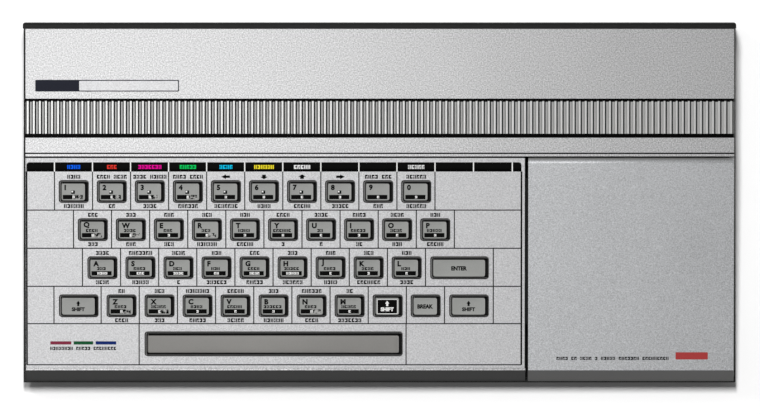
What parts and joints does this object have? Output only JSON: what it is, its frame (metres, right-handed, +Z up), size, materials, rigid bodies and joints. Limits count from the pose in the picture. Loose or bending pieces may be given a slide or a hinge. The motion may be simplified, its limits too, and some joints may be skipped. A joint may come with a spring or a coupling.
{
  "type": "home computer",
  "caption": "Wedge-profile home computer with a full sliding-key keyboard, a hinged door over a cartridge bay, a side power rocker and sockets at the sides and rear.",
  "frame": {"origin": "under the middle of the case, at the bottom of the feet", "axes": "+X to the right of someone typing, +Y to the rear, +Z up"},
  "size_m": [0.376, 0.19, 0.0449],
  "materials": {
    "black_case": "fine matt grain",
    "silver_case": "metallic silver paint on moulded plastic",
    "silver_plate": "painted metal plate, printed",
    "collar_plastic": "moulded grey",
    "key_plastic": "fine satin grey",
    "space_bar_plastic": "smooth satin grey",
    "dome_rubber": "moulded silicone",
    "membrane_film": "printed film",
    "steel_plate": "plain sheet",
    "circuit_board": "lacquered board",
    "chip_plastic": "moulded black",
    "socket_plastic": "moulded black",
    "socket_metal": "tinned shell",
    "rocker_plastic": "moulded black",
    "foot_rubber": "moulded rubber",
    "screw_steel": "zinc plated"
  },
  "bodies": {
    "root": {"bottom_case": "black_case", "top_case": "silver_case", "keyboard_faceplate": "silver_plate", "key_frame": "collar_plastic", "dome_mat": "dome_rubber", "keyboard_membrane": "membrane_film", "keyboard_backplate": "steel_plate", "main_board": "circuit_board", "board_parts": "chip_plastic", "cartridge_bay": "black_case", "cartridge_connector": "socket_plastic", "power_switch_body": "socket_plastic", "joystick_sockets": "socket_metal", "rear_sockets": "socket_plastic", "rubber_feet": "foot_rubber", "case_screws": "screw_steel"},
    "cartridge_door": {"cartridge_door": "silver_case"},
    "power_rocker": {"power_rocker": "rocker_plastic"},
    "key_1": {"key_1": "key_plastic"},
    "key_2": {"key_2": "key_plastic"},
    "key_3": {"key_3": "key_plastic"},
    "key_4": {"key_4": "key_plastic"},
    "key_5": {"key_5": "key_plastic"},
    "key_6": {"key_6": "key_plastic"},
    "key_7": {"key_7": "key_plastic"},
    "key_8": {"key_8": "key_plastic"},
    "key_9": {"key_9": "key_plastic"},
    "key_0": {"key_0": "key_plastic"},
    "key_q": {"key_q": "key_plastic"},
    "key_w": {"key_w": "key_plastic"},
    "key_e": {"key_e": "key_plastic"},
    "key_r": {"key_r": "key_plastic"},
    "key_t": {"key_t": "key_plastic"},
    "key_y": {"key_y": "key_plastic"},
    "key_u": {"key_u": "key_plastic"},
    "key_i": {"key_i": "key_plastic"},
    "key_o": {"key_o": "key_plastic"},
    "key_p": {"key_p": "key_plastic"},
    "key_a": {"key_a": "key_plastic"},
    "key_s": {"key_s": "key_plastic"},
    "key_d": {"key_d": "key_plastic"},
    "key_f": {"key_f": "key_plastic"},
    "key_g": {"key_g": "key_plastic"},
    "key_h": {"key_h": "key_plastic"},
    "key_j": {"key_j": "key_plastic"},
    "key_k": {"key_k": "key_plastic"},
    "key_l": {"key_l": "key_plastic"},
    "key_z": {"key_z": "key_plastic"},
    "key_x": {"key_x": "key_plastic"},
    "key_c": {"key_c": "key_plastic"},
    "key_v": {"key_v": "key_plastic"},
    "key_b": {"key_b": "key_plastic"},
    "key_n": {"key_n": "key_plastic"},
    "key_m": {"key_m": "key_plastic"},
    "key_symbol": {"key_symbol": "key_plastic"},
    "key_break": {"key_break": "key_plastic"},
    "key_enter": {"key_enter": "key_plastic"},
    "key_shift_left": {"key_shift_left": "key_plastic"},
    "key_shift_right": {"key_shift_right": "key_plastic"},
    "key_space": {"key_space": "space_bar_plastic"}
  },
  "joints": [
    {"name": "key_1_press", "type": "slide", "parent": "root", "child": "key_1", "axis": [0, 0.1452, -0.9894], "range_m": [0, 0.0022], "stiffness_N_per_m": 200, "springref_m": -0.001, "deforming": ["dome_mat"]},
    {"name": "key_2_press", "type": "slide", "parent": "root", "child": "key_2", "axis": [0, 0.1452, -0.9894], "range_m": [0, 0.0022], "stiffness_N_per_m": 200, "springref_m": -0.001, "deforming": ["dome_mat"]},
    {"name": "key_3_press", "type": "slide", "parent": "root", "child": "key_3", "axis": [0, 0.1452, -0.9894], "range_m": [0, 0.0022], "stiffness_N_per_m": 200, "springref_m": -0.001, "deforming": ["dome_mat"]},
    {"name": "key_4_press", "type": "slide", "parent": "root", "child": "key_4", "axis": [0, 0.1452, -0.9894], "range_m": [0, 0.0022], "stiffness_N_per_m": 200, "springref_m": -0.001, "deforming": ["dome_mat"]},
    {"name": "key_5_press", "type": "slide", "parent": "root", "child": "key_5", "axis": [0, 0.1452, -0.9894], "range_m": [0, 0.0022], "stiffness_N_per_m": 200, "springref_m": -0.001, "deforming": ["dome_mat"]},
    {"name": "key_6_press", "type": "slide", "parent": "root", "child": "key_6", "axis": [0, 0.1452, -0.9894], "range_m": [0, 0.0022], "stiffness_N_per_m": 200, "springref_m": -0.001, "deforming": ["dome_mat"]},
    {"name": "key_7_press", "type": "slide", "parent": "root", "child": "key_7", "axis": [0, 0.1452, -0.9894], "range_m": [0, 0.0022], "stiffness_N_per_m": 200, "springref_m": -0.001, "deforming": ["dome_mat"]},
    {"name": "key_8_press", "type": "slide", "parent": "root", "child": "key_8", "axis": [0, 0.1452, -0.9894], "range_m": [0, 0.0022], "stiffness_N_per_m": 200, "springref_m": -0.001, "deforming": ["dome_mat"]},
    {"name": "key_9_press", "type": "slide", "parent": "root", "child": "key_9", "axis": [0, 0.1452, -0.9894], "range_m": [0, 0.0022], "stiffness_N_per_m": 200, "springref_m": -0.001, "deforming": ["dome_mat"]},
    {"name": "key_0_press", "type": "slide", "parent": "root", "child": "key_0", "axis": [0, 0.1452, -0.9894], "range_m": [0, 0.0022], "stiffness_N_per_m": 200, "springref_m": -0.001, "deforming": ["dome_mat"]},
    {"name": "key_q_press", "type": "slide", "parent": "root", "child": "key_q", "axis": [0, 0.1452, -0.9894], "range_m": [0, 0.0022], "stiffness_N_per_m": 200, "springref_m": -0.001, "deforming": ["dome_mat"]},
    {"name": "key_w_press", "type": "slide", "parent": "root", "child": "key_w", "axis": [0, 0.1452, -0.9894], "range_m": [0, 0.0022], "stiffness_N_per_m": 200, "springref_m": -0.001, "deforming": ["dome_mat"]},
    {"name": "key_e_press", "type": "slide", "parent": "root", "child": "key_e", "axis": [0, 0.1452, -0.9894], "range_m": [0, 0.0022], "stiffness_N_per_m": 200, "springref_m": -0.001, "deforming": ["dome_mat"]},
    {"name": "key_r_press", "type": "slide", "parent": "root", "child": "key_r", "axis": [0, 0.1452, -0.9894], "range_m": [0, 0.0022], "stiffness_N_per_m": 200, "springref_m": -0.001, "deforming": ["dome_mat"]},
    {"name": "key_t_press", "type": "slide", "parent": "root", "child": "key_t", "axis": [0, 0.1452, -0.9894], "range_m": [0, 0.0022], "stiffness_N_per_m": 200, "springref_m": -0.001, "deforming": ["dome_mat"]},
    {"name": "key_y_press", "type": "slide", "parent": "root", "child": "key_y", "axis": [0, 0.1452, -0.9894], "range_m": [0, 0.0022], "stiffness_N_per_m": 200, "springref_m": -0.001, "deforming": ["dome_mat"]},
    {"name": "key_u_press", "type": "slide", "parent": "root", "child": "key_u", "axis": [0, 0.1452, -0.9894], "range_m": [0, 0.0022], "stiffness_N_per_m": 200, "springref_m": -0.001, "deforming": ["dome_mat"]},
    {"name": "key_i_press", "type": "slide", "parent": "root", "child": "key_i", "axis": [0, 0.1452, -0.9894], "range_m": [0, 0.0022], "stiffness_N_per_m": 200, "springref_m": -0.001, "deforming": ["dome_mat"]},
    {"name": "key_o_press", "type": "slide", "parent": "root", "child": "key_o", "axis": [0, 0.1452, -0.9894], "range_m": [0, 0.0022], "stiffness_N_per_m": 200, "springref_m": -0.001, "deforming": ["dome_mat"]},
    {"name": "key_p_press", "type": "slide", "parent": "root", "child": "key_p", "axis": [0, 0.1452, -0.9894], "range_m": [0, 0.0022], "stiffness_N_per_m": 200, "springref_m": -0.001, "deforming": ["dome_mat"]},
    {"name": "key_a_press", "type": "slide", "parent": "root", "child": "key_a", "axis": [0, 0.1452, -0.9894], "range_m": [0, 0.0022], "stiffness_N_per_m": 200, "springref_m": -0.001, "deforming": ["dome_mat"]},
    {"name": "key_s_press", "type": "slide", "parent": "root", "child": "key_s", "axis": [0, 0.1452, -0.9894], "range_m": [0, 0.0022], "stiffness_N_per_m": 200, "springref_m": -0.001, "deforming": ["dome_mat"]},
    {"name": "key_d_press", "type": "slide", "parent": "root", "child": "key_d", "axis": [0, 0.1452, -0.9894], "range_m": [0, 0.0022], "stiffness_N_per_m": 200, "springref_m": -0.001, "deforming": ["dome_mat"]},
    {"name": "key_f_press", "type": "slide", "parent": "root", "child": "key_f", "axis": [0, 0.1452, -0.9894], "range_m": [0, 0.0022], "stiffness_N_per_m": 200, "springref_m": -0.001, "deforming": ["dome_mat"]},
    {"name": "key_g_press", "type": "slide", "parent": "root", "child": "key_g", "axis": [0, 0.1452, -0.9894], "range_m": [0, 0.0022], "stiffness_N_per_m": 200, "springref_m": -0.001, "deforming": ["dome_mat"]},
    {"name": "key_h_press", "type": "slide", "parent": "root", "child": "key_h", "axis": [0, 0.1452, -0.9894], "range_m": [0, 0.0022], "stiffness_N_per_m": 200, "springref_m": -0.001, "deforming": ["dome_mat"]},
    {"name": "key_j_press", "type": "slide", "parent": "root", "child": "key_j", "axis": [0, 0.1452, -0.9894], "range_m": [0, 0.0022], "stiffness_N_per_m": 200, "springref_m": -0.001, "deforming": ["dome_mat"]},
    {"name": "key_k_press", "type": "slide", "parent": "root", "child": "key_k", "axis": [0, 0.1452, -0.9894], "range_m": [0, 0.0022], "stiffness_N_per_m": 200, "springref_m": -0.001, "deforming": ["dome_mat"]},
    {"name": "key_l_press", "type": "slide", "parent": "root", "child": "key_l", "axis": [0, 0.1452, -0.9894], "range_m": [0, 0.0022], "stiffness_N_per_m": 200, "springref_m": -0.001, "deforming": ["dome_mat"]},
    {"name": "key_z_press", "type": "slide", "parent": "root", "child": "key_z", "axis": [0, 0.1452, -0.9894], "range_m": [0, 0.0022], "stiffness_N_per_m": 200, "springref_m": -0.001, "deforming": ["dome_mat"]},
    {"name": "key_x_press", "type": "slide", "parent": "root", "child": "key_x", "axis": [0, 0.1452, -0.9894], "range_m": [0, 0.0022], "stiffness_N_per_m": 200, "springref_m": -0.001, "deforming": ["dome_mat"]},
    {"name": "key_c_press", "type": "slide", "parent": "root", "child": "key_c", "axis": [0, 0.1452, -0.9894], "range_m": [0, 0.0022], "stiffness_N_per_m": 200, "springref_m": -0.001, "deforming": ["dome_mat"]},
    {"name": "key_v_press", "type": "slide", "parent": "root", "child": "key_v", "axis": [0, 0.1452, -0.9894], "range_m": [0, 0.0022], "stiffness_N_per_m": 200, "springref_m": -0.001, "deforming": ["dome_mat"]},
    {"name": "key_b_press", "type": "slide", "parent": "root", "child": "key_b", "axis": [0, 0.1452, -0.9894], "range_m": [0, 0.0022], "stiffness_N_per_m": 200, "springref_m": -0.001, "deforming": ["dome_mat"]},
    {"name": "key_n_press", "type": "slide", "parent": "root", "child": "key_n", "axis": [0, 0.1452, -0.9894], "range_m": [0, 0.0022], "stiffness_N_per_m": 200, "springref_m": -0.001, "deforming": ["dome_mat"]},
    {"name": "key_m_press", "type": "slide", "parent": "root", "child": "key_m", "axis": [0, 0.1452, -0.9894], "range_m": [0, 0.0022], "stiffness_N_per_m": 200, "springref_m": -0.001, "deforming": ["dome_mat"]},
    {"name": "key_symbol_press", "type": "slide", "parent": "root", "child": "key_symbol", "axis": [0, 0.1452, -0.9894], "range_m": [0, 0.0022], "stiffness_N_per_m": 200, "springref_m": -0.001, "deforming": ["dome_mat"]},
    {"name": "key_break_press", "type": "slide", "parent": "root", "child": "key_break", "axis": [0, 0.1452, -0.9894], "range_m": [0, 0.0022], "stiffness_N_per_m": 200, "springref_m": -0.001, "deforming": ["dome_mat"]},
    {"name": "key_enter_press", "type": "slide", "parent": "root", "child": "key_enter", "axis": [0, 0.1452, -0.9894], "range_m": [0, 0.0022], "stiffness_N_per_m": 200, "springref_m": -0.001, "deforming": ["dome_mat"]},
    {"name": "key_shift_left_press", "type": "slide", "parent": "root", "child": "key_shift_left", "axis": [0, 0.1452, -0.9894], "range_m": [0, 0.0022], "stiffness_N_per_m": 200, "springref_m": -0.001, "deforming": ["dome_mat"]},
    {"name": "key_shift_right_press", "type": "slide", "parent": "root", "child": "key_shift_right", "axis": [0, 0.1452, -0.9894], "range_m": [0, 0.0022], "stiffness_N_per_m": 200, "springref_m": -0.001, "deforming": ["dome_mat"]},
    {"name": "key_space_press", "type": "slide", "parent": "root", "child": "key_space", "axis": [0, 0.1452, -0.9894], "range_m": [0, 0.0022], "stiffness_N_per_m": 300, "springref_m": -0.001, "deforming": ["dome_mat"]},
    {"name": "door_hinge", "type": "hinge", "parent": "root", "child": "cartridge_door", "pos_m": [0.081, 0.02116, 0.04096], "axis": [-1, 0, 0], "range_deg": [0, 100]},
    {"name": "rocker_tip", "type": "hinge", "parent": "root", "child": "power_rocker", "pos_m": [0.18, 0.078, 0.027], "axis": [0, 0, 1], "range_deg": [0, 15]}
  ]
}
